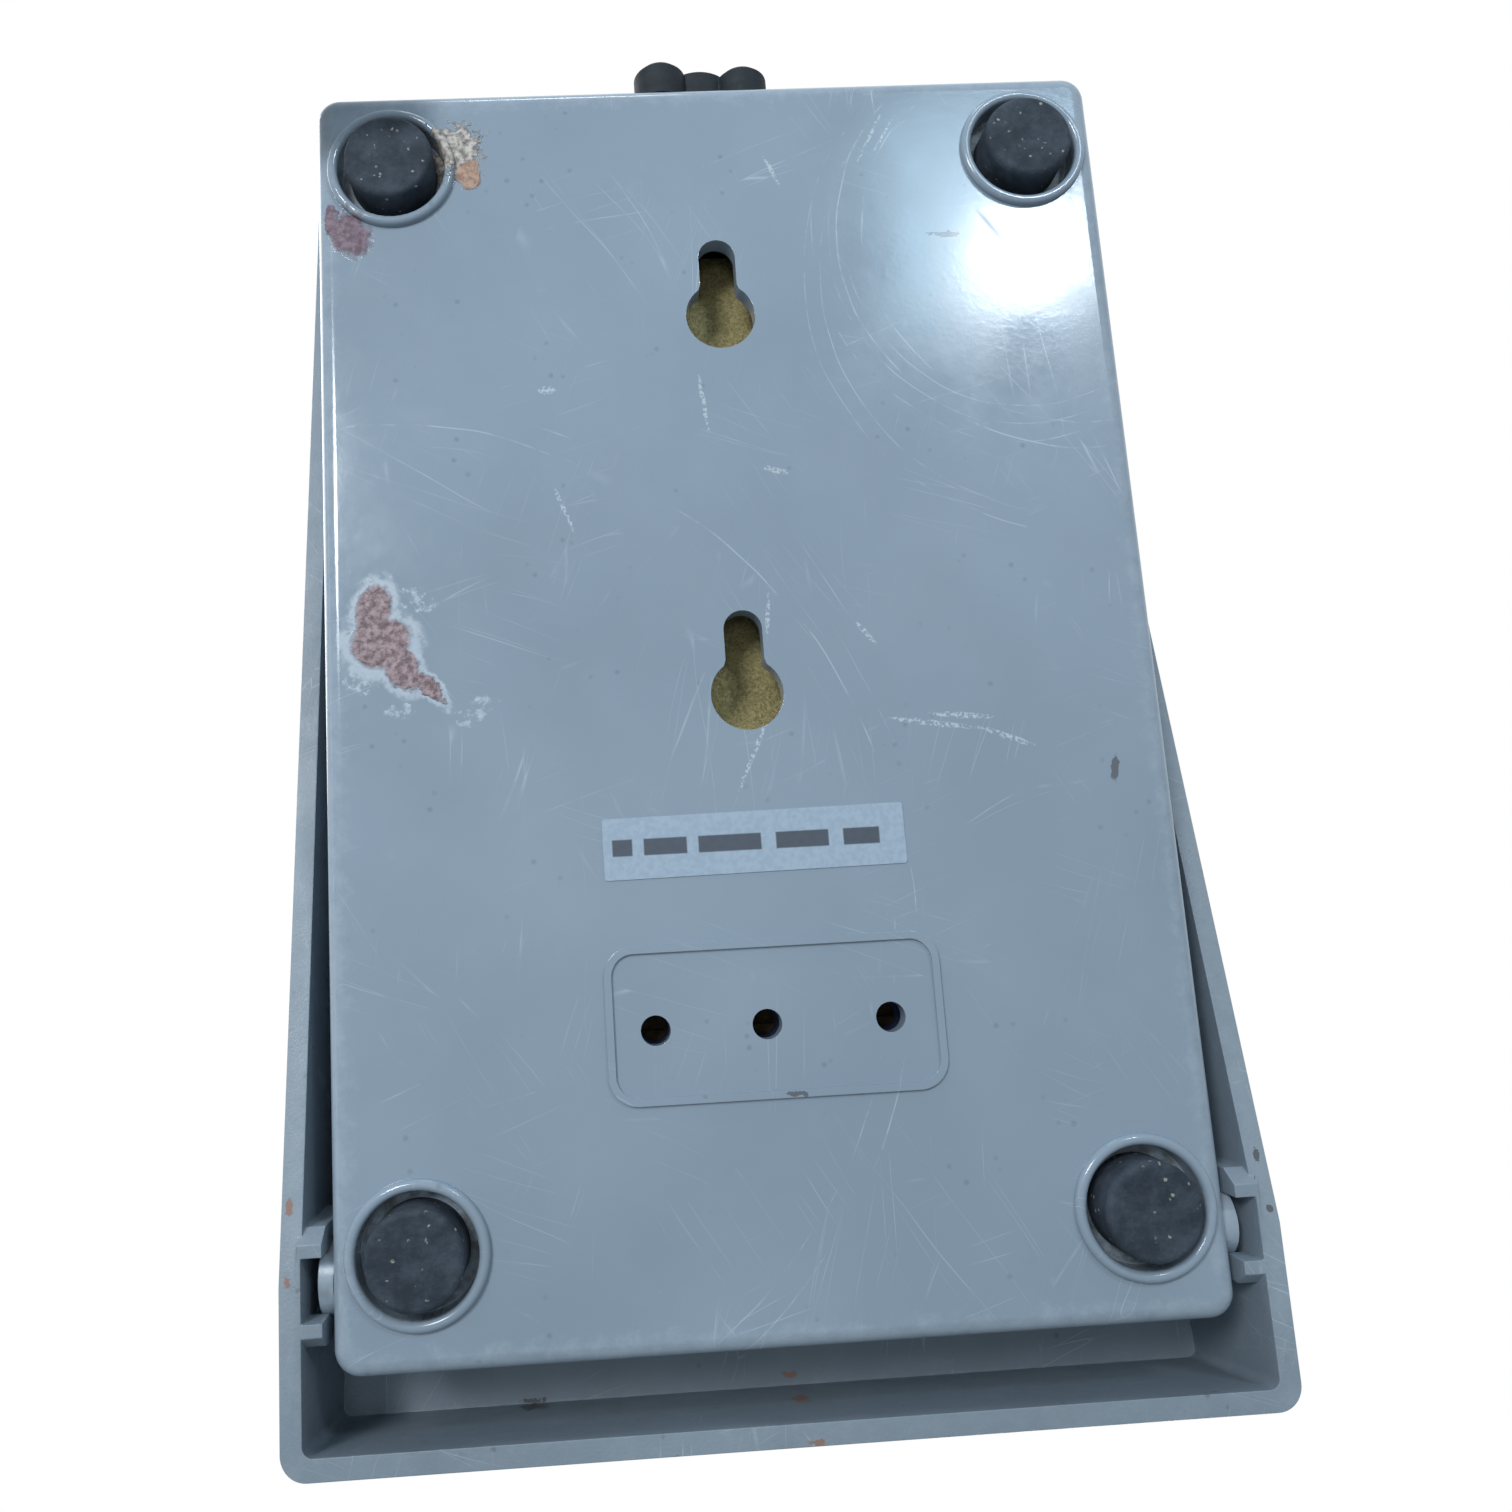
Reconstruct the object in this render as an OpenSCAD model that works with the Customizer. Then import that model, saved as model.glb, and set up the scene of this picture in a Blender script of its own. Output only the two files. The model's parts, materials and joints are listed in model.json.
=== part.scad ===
// Treadle foot pedal: a base on four rubber feet, with a sprung treadle that turns on two studs near the heel.
// Sizes are in millimetres. +Z is up, +Y points to the toe, and the feet stand on the floor at Z = 0.

/* [Base] */
// Width of the base
base_w = 104; // [90:1:130]
// Length of the base, heel to toe
base_l = 160; // [135:1:195]
// Height of the base from its underside to the top of the deck
base_h = 20.5; // [20:0.5:24]
// Thickness of the base walls
wall = 2.5; // [2:0.1:3]
// Corner radius of the base seen from below
base_corner_r = 3.2; // [3:0.1:8]
// Radius of the edges along the underside and the deck
base_edge_r = 2.3; // [1:0.1:3]

/* [Feet] */
// Diameter of a rubber foot
foot_d = 11.4; // [9:0.1:12.5]
// How far a foot stands out below the base
foot_stand = 3; // [2:0.1:5]
// Distance of the foot centres from the sides
foot_side = 10; // [9.5:0.1:13]
// Distance of the heel foot centres from the heel end
foot_heel = 13.2; // [12:0.1:16]
// Distance of the toe foot centres from the toe end
foot_toe = 11.3; // [10.5:0.1:16]
// Diameter of the recess around a foot
recess_d = 14; // [13:0.1:15]
// Width of the raised ring around a recess
ring_w = 1.35; // [0.8:0.05:1.5]
// Height of the raised ring
ring_h = 0.9; // [0.5:0.1:1.5]

/* [Keyholes] */
// Diameter of the round part of a keyhole
key_d = 9; // [7:0.1:10]
// Width of a keyhole's slot
key_slot_w = 4.8; // [4:0.1:5.5]
// Distance from the round part's centre to the slot's end centre
key_run = 8.2; // [7:0.1:9]
// Distance between the two keyholes
key_pitch = 50.2; // [45:0.1:52]
// Distance of the first keyhole from the heel end
key_y = 76.2; // [75:0.1:78]

/* [Adjusters] */
// Diameter of an adjuster hole
adjust_d = 3.5; // [3:0.1:4.5]
// Sideways places of the adjuster holes
adjust_x = [13.6, 0.4, -14.3]; // [-20:0.1:20]
// Distance of the adjuster holes from the heel end
adjust_y = 36.4; // [35:0.1:38]
// Width, length and corner radius of the bead outline around them
bead_size = [40, 18.4, 3.5]; // [2:0.1:44]
// Centre of the bead outline
bead_at = [-0.6, 37.1]; // [-2:0.1:40]

/* [Treadle] */
// Gap between the base and the treadle's side walls
side_gap = 3.25; // [2.5:0.05:5]
// Thickness of the treadle's walls
tread_wall = 2.5; // [2:0.1:3]
// Height of the treadle from its rim to its top
tread_h = 25.4; // [25:0.1:30]
// How far the treadle reaches past the heel end
heel_reach = 10.7; // [9:0.1:14]
// How far the treadle reaches past the toe end
toe_reach = 8; // [7:0.1:12]
// Radius of the treadle's corners and top edges
tread_r = 3; // [2.6:0.1:5]
// Tilt of the treadle at rest, in degrees
rest_tilt = 9.7; // [9:0.1:10.5]
// Width of the gap for the gland in the toe wall
arch_w = 27; // [25:0.5:32]
// Height of the gap for the gland in the toe wall
arch_h = 20; // [19.5:0.1:20.4]
// Distance of the pivot from the heel end
pivot_y = 10; // [9:0.1:12]
// Height of the pivot above the base's underside
pivot_z = 6; // [5.5:0.1:7]
// Diameter of a pivot stud
pivot_d = 8.4; // [7:0.1:9]

/* [Springs and plunger] */
// Place of a return spring: sideways, and from the heel end
spring_at = [30, 100]; // [24:1:110]
// Outer diameter of a return spring
spring_d = 11; // [9:0.5:11.5]
// Wire diameter of a return spring
spring_wire = 1.2; // [0.8:0.1:1.4]
// Distance of the plunger from the heel end
plunger_y = 56; // [55:0.5:58]
// Diameter of the plunger
plunger_d = 8; // [6:0.1:9]

/* [Gland] */
// Diameter of the gland's thread
gland_d = 10; // [9.5:0.1:11]
// Height of the gland's axis above the base's underside
gland_z = 10.5; // [10.2:0.1:11]
// Diameter of the hole through the seal
cord_d = 4.6; // [3.5:0.1:4.8]
// How far the gland nut stands out from the toe end
nut_reach = 6.5; // [6:0.1:8]
// Distance of a lobe from the gland's axis
lobe_at = 6.7; // [6:0.1:7.4]
// Radius of a lobe
lobe_r = 3.6; // [3:0.1:3.8]
// How far the nut is turned at rest, in degrees
nut_turn = 6; // [0:1:60]

/* [Hidden] */
$fn = 64;
// running and assembly clearances
run_gap = 0.05;
seat_gap = 0.15;
soft_gap = 0.3;
// base
half_w = base_w / 2;
split_z = gland_z;
foot_xy = [for (y = [foot_heel, base_l - foot_toe], x = [-1, 1]) [x * (half_w - foot_side), y]];
foot_names = ["foot_heel_left", "foot_heel_right", "foot_toe_left", "foot_toe_right"];
recess_z = wall;
cup_wall = 2;
screw_head_d = 5.6;
screw_head_h = 2;
screw_d = 2.8;
screw_seat_z = recess_z + screw_head_h + 0.2;
post_z = screw_seat_z + 2.3;
post_d = 7.5;
key_ys = [key_y, key_y + key_pitch];
// ballast plate
head_room = 4.3;
plate_z = wall + head_room;
plate_t = 3;
plate_heel = key_y - 8;
plate_toe = base_l - foot_toe - recess_d / 2 - cup_wall - 1;
plate_half = half_w - wall - 5;
plate_screws = [for (y = [plate_heel + 5, plate_toe - 6], x = [-1, 1]) [x * (plate_half - 6), y]];
// circuit board
board_size = [56, 30, 1.6];
board_y = adjust_y - 19.4;
board_z = wall + 7.1;
board_screws_at = [for (y = [4, board_size[1] - 4], x = [-1, 1]) [x * 24, board_y + y]];
trimmer_names = ["left", "centre", "right"];
trimmer_size = [9.4, 9.4, 4.8];
trimmer_z = board_z - trimmer_size[2] - 0.02;
trim_screw_d = 3;
trim_screw_h = 1.4;
board_top = board_z + board_size[2] + 0.02;
// treadle
tread_half = half_w + side_gap + tread_wall;
tread_in = half_w + side_gap;
heel_u = -heel_reach;
toe_u = base_l + toe_reach;
under_w = tread_h - tread_wall;
block_t = 2.4;
block_y = [pivot_y - 6.5, pivot_y + 6.5];
block_top = pivot_z + 7;
block_bevel = 1.5;
press_deg = 8;
mouth_w = pivot_d - 1.4;
mat_t = 2;
mat_sink = 0.6;
mat_size = [2 * tread_half - 18, toe_u - heel_u - 40];
mat_heel = heel_u + 24;
// the treadle's underside at rest, as a height above the base's underside
function under(y) = pivot_z + (under_w - pivot_z) / cos(rest_tilt) + (y - pivot_y) * tan(rest_tilt);
function under_pressed(y) = pivot_z + (under_w - pivot_z) / cos(rest_tilt - press_deg)
    + (y - pivot_y) * tan(rest_tilt - press_deg);
stud_shank_d = 5;
stud_grip = 3.5;
stud_side = 1.7;
stud_dome = side_gap - stud_side - 0.75;
stud_dome_r = (pow(pivot_d / 2, 2) + pow(stud_dome, 2)) / (2 * stud_dome) + 0.05;
// springs
well_in = spring_d + 2.2;
well_out = well_in + 3;
well_floor = plate_z + plate_t + 0.5;
spring_foot = well_floor + 2;
seat_z = under(spring_at[1] - 9) - 0.3;
seat_shift = 1.7;
spring_top = seat_z - 0.1;
// plunger
sleeve_out = plunger_d + 4;
sleeve_z = 14;
flange_d = plunger_d + 2.6;
flange_t = 1.8;
flange_top = sleeve_z - 0.2;
dome_r = 7;
plunger_top = under(plunger_y) - dome_r / cos(rest_tilt) + dome_r - soft_gap;
magnet_d = 4;
magnet_l = 4;
// stops
buffer_at = [34, base_l - 22];
buffer_d = 10;
buffer_top = under_pressed(buffer_at[1] - buffer_d / 2) - 0.35;
rest_pad_y = 4.4;
rest_pad_size = [14, 3.4];
rest_pad_top = under(rest_pad_y - rest_pad_size[1] / 2) - soft_gap;
// gland
gland_flange_t = 1.2;
gland_in = 6.5;
locknut_t = 3;
nut_start = gland_flange_t + 0.2;
nut_thread_d = cord_d + 3.8;
nut_body_r = nut_thread_d / 2 + 1;
seal_d = cord_d + 2;
seal_l = nut_reach - gland_flange_t - 2.4;
// where the parts stand: the feet on the floor, and the middle of the whole length at Y = 0
edge_drop = tread_h - tread_r - pivot_z;
heel_end = pivot_y + (heel_u + tread_r - pivot_y) * cos(rest_tilt) - edge_drop * sin(rest_tilt) - tread_r;
tread_toe_end = pivot_y + (toe_u - pivot_y) * cos(rest_tilt) + pivot_z * sin(rest_tilt);
toe_end = max(base_l + nut_reach, tread_toe_end);
middle_y = (heel_end + toe_end) / 2;

// Moves a piece from the base's own places to where the part stands.
module stand() translate([0, -middle_y, foot_stand]) children();

// Turns a piece from the treadle's own level places to its tilt at rest.
module tilted() translate([0, pivot_y, pivot_z]) rotate([rest_tilt, 0, 0])
    translate([0, -pivot_y, -pivot_z]) children();

// A flat outline with round corners, from x0,y0 to x1,y1.
module round_rect(x0, y0, x1, y1, r) {
    translate([x0 + r, y0]) square([x1 - x0 - 2 * r, y1 - y0]);
    translate([x0, y0 + r]) square([x1 - x0, y1 - y0 - 2 * r]);
    for (x = [x0 + r, x1 - r], y = [y0 + r, y1 - r]) translate([x, y]) circle(r);
}

// A block whose upright corners have radius r and whose upper edges have radius e.
module soft_block(x0, y0, x1, y1, h, r, e) hull() for (x = [x0 + r, x1 - r], y = [y0 + r, y1 - r])
    translate([x, y, 0]) {
        cylinder(r = r, h = h - e, $fn = 48);
        translate([0, 0, h - e]) rotate_extrude($fn = 48) translate([r - e, 0])
            intersection() { circle(e, $fn = 48); square(e); }
    }

module at(places) for (p = places) translate([p[0], p[1], 0]) children();

// A keyhole's outline, its round part at the origin and its slot to the toe, with eased corners at the neck.
module keyhole_outline() {
    neck = sqrt(pow(key_d / 2, 2) - pow(key_slot_w / 2, 2));
    circle(d = key_d);
    translate([-key_slot_w / 2, 0]) square([key_slot_w, key_run]);
    translate([0, key_run]) circle(d = key_slot_w);
    for (s = [-1, 1]) polygon([[0, neck - 0.6], [s * (key_slot_w / 2 + 0.4), neck - 0.6], [s * key_slot_w / 2, neck + 0.6],
        [0, neck + 0.6]]);
}

module base_tray() color([0.50, 0.57, 0.65]) difference() {
    union() {
        difference() {
            translate([0, 0, split_z]) mirror([0, 0, 1])
                soft_block(-half_w, 0, half_w, base_l, split_z, base_corner_r, base_edge_r);
            translate([0, 0, wall]) linear_extrude(base_h)
                round_rect(-half_w + wall, wall, half_w - wall, base_l - wall, 1.5);
        }
        // cups over the foot recesses, with the rings around them
        at(foot_xy) {
            translate([0, 0, wall - 0.5]) cylinder(d = recess_d + 2 * cup_wall, h = post_z - wall + 0.3);
            ring_bead(recess_d / 2, ring_w, ring_h);
        }
        // bosses under the ballast plate and the circuit board
        at(plate_screws) translate([0, 0, wall - 0.5]) cylinder(d = 7, h = plate_z - wall + 0.5);
        at(board_screws_at) translate([0, 0, wall - 0.5]) cylinder(d = 6, h = board_z - wall + 0.5);
        // seat for the plunger's spring
        translate([0, plunger_y, wall - 0.5]) cylinder(d = flange_d + 3, h = 1.5);
        bead_outline();
    }
    at(foot_xy) {
        translate([0, 0, -ring_h - 1]) cylinder(d = recess_d, h = recess_z + ring_h + 1);
        translate([0, 0, -1]) cylinder(d = screw_head_d + 0.6, h = screw_seat_z + 1);
        translate([0, 0, 0]) cylinder(d = screw_d + 0.6, h = 12);
        translate([0, 0, post_z]) cylinder(d = post_d + 0.6, h = 12);
    }
    at(plate_screws) translate([0, 0, wall]) cylinder(d = screw_d + 2 * run_gap, h = 10);
    at(board_screws_at) translate([0, 0, wall]) cylinder(d = screw_d + 2 * run_gap, h = 10);
    translate([0, plunger_y, wall + 0.3]) cylinder(d = flange_d + 0.6, h = 6);
    for (y = key_ys) translate([0, y, -1]) linear_extrude(wall + 2) keyhole_outline();
    for (x = adjust_x) translate([x, adjust_y, -1]) cylinder(d = adjust_d, h = wall + 2);
    gland_hole();
    stud_holes();
}

// A raised ring with a half-round top around a recess, on the underside.
module ring_bead(r, w, h) mirror([0, 0, 1]) rotate_extrude() translate([r, 0]) {
    translate([0, -0.5]) square([w, h - w / 2 + 0.5]);
    translate([w / 2, h - w / 2]) circle(w / 2);
}

module bead_outline() {
    w = 0.9;
    translate([bead_at[0] - bead_size[0] / 2, bead_at[1] - bead_size[1] / 2, -0.4]) linear_extrude(1)
        difference() {
            round_rect(0, 0, bead_size[0], bead_size[1], bead_size[2]);
            round_rect(w, w, bead_size[0] - w, bead_size[1] - w, bead_size[2] - w);
        }
}

module gland_hole() on_gland() translate([0, 0, -wall - 1]) cylinder(d = gland_d + 2 * seat_gap, h = wall + 5);

module stud_holes() for (s = [-1, 1]) translate([s * (half_w - stud_grip - 0.1), pivot_y, pivot_z])
    rotate([0, s * 90, 0]) cylinder(d = stud_shank_d + 2 * run_gap, h = 20);

module base_deck() color([0.50, 0.57, 0.65]) difference() {
    union() {
        difference() {
            translate([0, 0, split_z + 0.02])
                soft_block(-half_w, 0, half_w, base_l, base_h - split_z - 0.02, base_corner_r, base_edge_r);
            translate([0, 0, split_z - 1]) linear_extrude(base_h - split_z - wall + 1)
                round_rect(-half_w + wall, wall, half_w - wall, base_l - wall, 1.5);
        }
        // tongue that drops inside the tray's wall, and its root on the deck's wall
        translate([0, 0, split_z - 1.8]) linear_extrude(3) tongue_outline(wall + seat_gap);
        translate([0, 0, split_z + 0.02]) linear_extrude(2) tongue_outline(wall - 0.5);
        at(foot_xy) translate([0, 0, post_z + 0.1]) cylinder(d = post_d, h = base_h - post_z - 1.5);
        for (s = [-1, 1]) translate([s * spring_at[0], spring_at[1], well_floor])
            cylinder(d = well_out, h = base_h - well_floor - 0.5);
        translate([0, plunger_y, sleeve_z]) cylinder(d = sleeve_out, h = base_h - sleeve_z + 1.5);
        for (s = [-1, 1]) translate([s * buffer_at[0], buffer_at[1], base_h - 1]) cylinder(d = buffer_d + 3, h = 2);
    }
    at(foot_xy) translate([0, 0, 0]) cylinder(d = screw_d + 2 * run_gap, h = base_h - wall);
    for (s = [-1, 1]) {
        translate([s * spring_at[0], spring_at[1], spring_foot]) cylinder(d = well_in, h = 20);
        translate([s * buffer_at[0], buffer_at[1], base_h - 0.5]) cylinder(d = buffer_d + 0.2, h = 5);
        translate([s * (half_w - 16), rest_pad_y + 0.2, base_h - 0.6])
            linear_extrude(2) square([rest_pad_size[0] + 0.2, rest_pad_size[1] + 0.2], center = true);
    }
    translate([0, plunger_y, 0]) cylinder(d = plunger_d + 2 * run_gap, h = 40);
    gland_hole();
    on_gland() translate([0, 0, -wall - locknut_t - 3]) cylinder(d = gland_d + 5, h = locknut_t + 3);
}

// A band from the given depth inside the base's outline to 1.4 inside the wall.
module tongue_outline(depth) difference() {
    round_rect(-half_w + depth, depth, half_w - depth, base_l - depth, 1.4);
    round_rect(-half_w + wall + 1.4, wall + 1.4, half_w - wall - 1.4, base_l - wall - 1.4, 0.8);
}

module foot(i) color([0.13, 0.15, 0.18]) translate([foot_xy[i][0], foot_xy[i][1], -foot_stand]) rotate_extrude() {
    e = 0.8;
    square([foot_d / 2 - e, foot_stand + recess_z - 0.02]);
    translate([0, e]) square([foot_d / 2, foot_stand + recess_z - 0.02 - e]);
    translate([foot_d / 2 - e, e]) circle(e);
}

// A pan-head screw that points up, with its head's bearing face at z = 0.
module pan_screw(d, head_d, head_h, l) difference() {
    union() {
        translate([0, 0, -head_h]) cylinder(d = head_d, h = head_h);
        translate([0, 0, -0.1]) cylinder(d = d, h = l + 0.1);
    }
    for (a = [0, 90]) rotate([0, 0, a]) translate([-head_d * 0.32, -0.35, -head_h - 1]) cube([head_d * 0.64, 0.7, 2]);
}

module case_screws() color("silver") at(foot_xy) translate([0, 0, screw_seat_z])
    pan_screw(screw_d, screw_head_d, screw_head_h, 11);

module serial_label() color([0.82, 0.86, 0.90]) rotate([0, 0, -0.4]) translate([0, 58, -0.12]) linear_extrude(0.11)
    round_rect(-18.3, -3.7, 18.3, 3.7, 0.4);

module ballast_plate() color([0.62, 0.53, 0.28]) difference() {
    translate([0, 0, plate_z + 0.02]) linear_extrude(plate_t)
        round_rect(-plate_half, plate_heel, plate_half, plate_toe, 3);
    at(plate_screws) cylinder(d = screw_d + 0.6, h = 30);
}

module ballast_screws() color("silver") at(plate_screws) translate([0, 0, plate_z + plate_t + 0.04])
    mirror([0, 0, 1]) pan_screw(screw_d, 5.4, 1.6, plate_z + plate_t - wall - 0.5);

module circuit_board() color([0.10, 0.38, 0.22]) difference() {
    translate([-board_size[0] / 2, board_y, board_z + 0.01]) cube(board_size);
    at(board_screws_at) cylinder(d = screw_d + 0.4, h = 30);
}

module board_screws() color("silver") at(board_screws_at) translate([0, 0, board_top + 0.02])
    mirror([0, 0, 1]) pan_screw(screw_d, 5.0, 1.5, board_top - wall - 0.5);

module trimmer(i) color([0.12, 0.22, 0.55]) difference() {
    translate([adjust_x[i] - trimmer_size[0] / 2, adjust_y - trimmer_size[1] / 2, trimmer_z]) cube(trimmer_size);
    translate([adjust_x[i], adjust_y, trimmer_z - 1]) cylinder(d = trim_screw_d + 2 * run_gap, h = 2.2);
}

module trimmer_screw(i) color("goldenrod") difference() {
    translate([adjust_x[i], adjust_y, trimmer_z - 0.4]) cylinder(d = trim_screw_d, h = trim_screw_h);
    translate([adjust_x[i] - 1.2, adjust_y - 0.3, trimmer_z - 1]) cube([2.4, 0.6, 1.3]);
}

module hall_sensor() color([0.1, 0.1, 0.1]) difference() {
    translate([0, board_y + board_size[1] - 1.8, board_top]) {
        cylinder(d = 4.2, h = 3.6);
    }
    translate([-5, board_y + board_size[1] - 0.8, board_top - 1]) cube([10, 5, 8]);
}

module amplifier_chip() color([0.1, 0.1, 0.1]) translate([8, board_y + 8, board_top]) {
    translate([0, 0, 0.3]) cube([5, 6.4, 1.5]);
    for (i = [0:3]) translate([-1.2, 0.7 + i * 1.5, 0]) cube([7.4, 0.5, 0.5]);
}

module capacitor() color([0.15, 0.2, 0.45]) translate([-14, board_y + 20, board_top]) {
    cylinder(d = 5, h = 4.8);
    cylinder(d = 5.6, h = 0.8);
}

module terminal_block() color([0.15, 0.50, 0.30]) difference() {
    translate([-20, board_y + 5, board_top]) cube([15, 7, 5]);
    for (i = [0:2]) {
        translate([-17.5 + i * 5, board_y + 8.5, board_top + 2.4]) cylinder(d = 3.6 + 2 * run_gap, h = 4);
        translate([-19 + i * 5, board_y + 9.5, board_top + 0.6]) cube([3, 4, 1.6]);
    }
}

module terminal_screws() color("silver") for (i = [0:2]) difference() {
    translate([-17.5 + i * 5, board_y + 8.5, board_top + 2.45]) cylinder(d = 3.6, h = 2);
    translate([-19 + i * 5, board_y + 8.2, board_top + 3.9]) cube([3, 0.6, 2]);
}

// Places a piece on the gland's axis, with z = 0 at the base's toe end.
module on_gland() translate([0, base_l, gland_z]) rotate([-90, 0, 0]) children();

module gland_body() color([0.10, 0.11, 0.13]) on_gland() difference() {
    union() {
        translate([0, 0, -gland_in]) cylinder(d = gland_d, h = gland_in + 1);
        translate([0, 0, 0.02]) cylinder(d = gland_d + 4, h = gland_flange_t - 0.02);
        translate([0, 0, 1]) cylinder(d = nut_thread_d, h = nut_reach - 2.6);
    }
    translate([0, 0, -20]) cylinder(d = cord_d, h = 40);
    translate([0, 0, -20]) cylinder(d = cord_d + 0.6, h = 20.3);
    translate([0, 0, gland_flange_t]) cylinder(d = seal_d + 2 * run_gap, h = 20);
}

module gland_seal() color([0.20, 0.20, 0.20]) on_gland() difference() {
    translate([0, 0, gland_flange_t + 0.05]) cylinder(d = seal_d, h = seal_l);
    translate([0, 0, -1]) cylinder(d = cord_d, h = 20);
}

module gland_nut() color([0.10, 0.13, 0.16]) on_gland() rotate([0, 0, nut_turn]) difference() {
    union() {
        translate([0, 0, nut_start]) cylinder(r = nut_body_r, h = nut_reach - nut_start - 0.4);
        for (a = [0:2]) rotate([0, 0, a * 120 + 30]) {
            translate([lobe_at, 0, nut_start]) cylinder(r = lobe_r, h = nut_reach - nut_start - 0.8);
            translate([lobe_at, 0, nut_reach - 0.8]) cylinder(r1 = lobe_r, r2 = lobe_r - 0.8, h = 0.8);
            translate([0, -lobe_r * 0.8, nut_start]) cube([lobe_at, lobe_r * 1.6, nut_reach - nut_start - 0.8]);
        }
    }
    translate([0, 0, -1]) cylinder(d = nut_thread_d + 2 * run_gap, h = nut_reach);
    translate([0, 0, 0]) cylinder(d = cord_d + 0.9, h = 20);
}

module gland_locknut() color([0.10, 0.11, 0.13]) on_gland() translate([0, 0, -wall - locknut_t - 0.05]) difference() {
    cylinder(d = gland_d + 4, h = locknut_t, $fn = 6);
    translate([0, 0, -1]) cylinder(d = gland_d + 2 * run_gap, h = locknut_t + 2);
}

// The stud's shank is pressed into the side wall, and its domed head runs in the treadle's C slot.
module pivot_stud(s) color([0.58, 0.64, 0.71]) translate([s * half_w, pivot_y, pivot_z]) rotate([0, s * 90, 0]) {
    translate([0, 0, -stud_grip]) cylinder(d = stud_shank_d, h = stud_grip + 0.5);
    translate([0, 0, 0.02]) cylinder(d = pivot_d, h = stud_side);
    translate([0, 0, stud_side]) intersection() {
        translate([0, 0, stud_dome - stud_dome_r]) sphere(r = stud_dome_r);
        cylinder(d = pivot_d, h = stud_dome);
    }
}

module plunger() color([0.92, 0.92, 0.90]) translate([0, plunger_y, 0]) difference() {
    union() {
        translate([0, 0, flange_top - flange_t]) cylinder(d = plunger_d, h = plunger_top - flange_top + flange_t - 2);
        translate([0, 0, flange_top - flange_t]) cylinder(d = flange_d, h = flange_t);
        intersection() {
            translate([0, 0, plunger_top - dome_r]) sphere(r = dome_r);
            translate([0, 0, plunger_top - 3]) cylinder(d = plunger_d, h = 4);
        }
    }
    translate([0, 0, 0]) cylinder(d = magnet_d + 0.04, h = flange_top - flange_t + magnet_l + 0.05);
}

module plunger_magnet() color([0.7, 0.7, 0.72]) translate([0, plunger_y, flange_top - flange_t]) cylinder(d = magnet_d, h = magnet_l);

// A compression spring from z = 0 to z = l, its wire a tube swept along a helix with closed end turns.
function helix_z(t, turns, l, w) = w / 2 + (l - w) * (t < 1 ? t * w / (l - w)
    : t > turns - 1 ? 1 - (turns - t) * w / (l - w) : (w + (l - 3 * w) * (t - 1) / (turns - 2)) / (l - w));

module coil(d, w, turns, l) {
    steps = 20 * turns;
    sides = 8;
    r = (d - w) / 2;
    pts = [for (i = [0:steps], k = [0:sides - 1]) let (t = i / 20, a = 360 * t, b = 360 * k / sides)
        [(r + w / 2 * cos(b)) * cos(a), (r + w / 2 * cos(b)) * sin(a), helix_z(t, turns, l, w) + w / 2 * sin(b)]];
    walls = [for (i = [0:steps - 1], k = [0:sides - 1]) let (a = i * sides + k, b = i * sides + (k + 1) % sides)
        [a, a + sides, b + sides, b]];
    first = [for (k = [0:sides - 1]) k];
    last = [for (k = [sides - 1:-1:0]) steps * sides + k];
    polyhedron(pts, concat(walls, [first], [last]), convexity = 10);
}

module return_spring(s) color("silver") translate([s * spring_at[0], spring_at[1], spring_foot + 0.1])
    coil(spring_d, spring_wire, 9, spring_top - spring_foot - 0.2);

module plunger_spring() color("silver") translate([0, plunger_y, wall + 0.4])
    coil(flange_d - 0.8, 0.5, 5, flange_top - flange_t - wall - 0.5);

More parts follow.
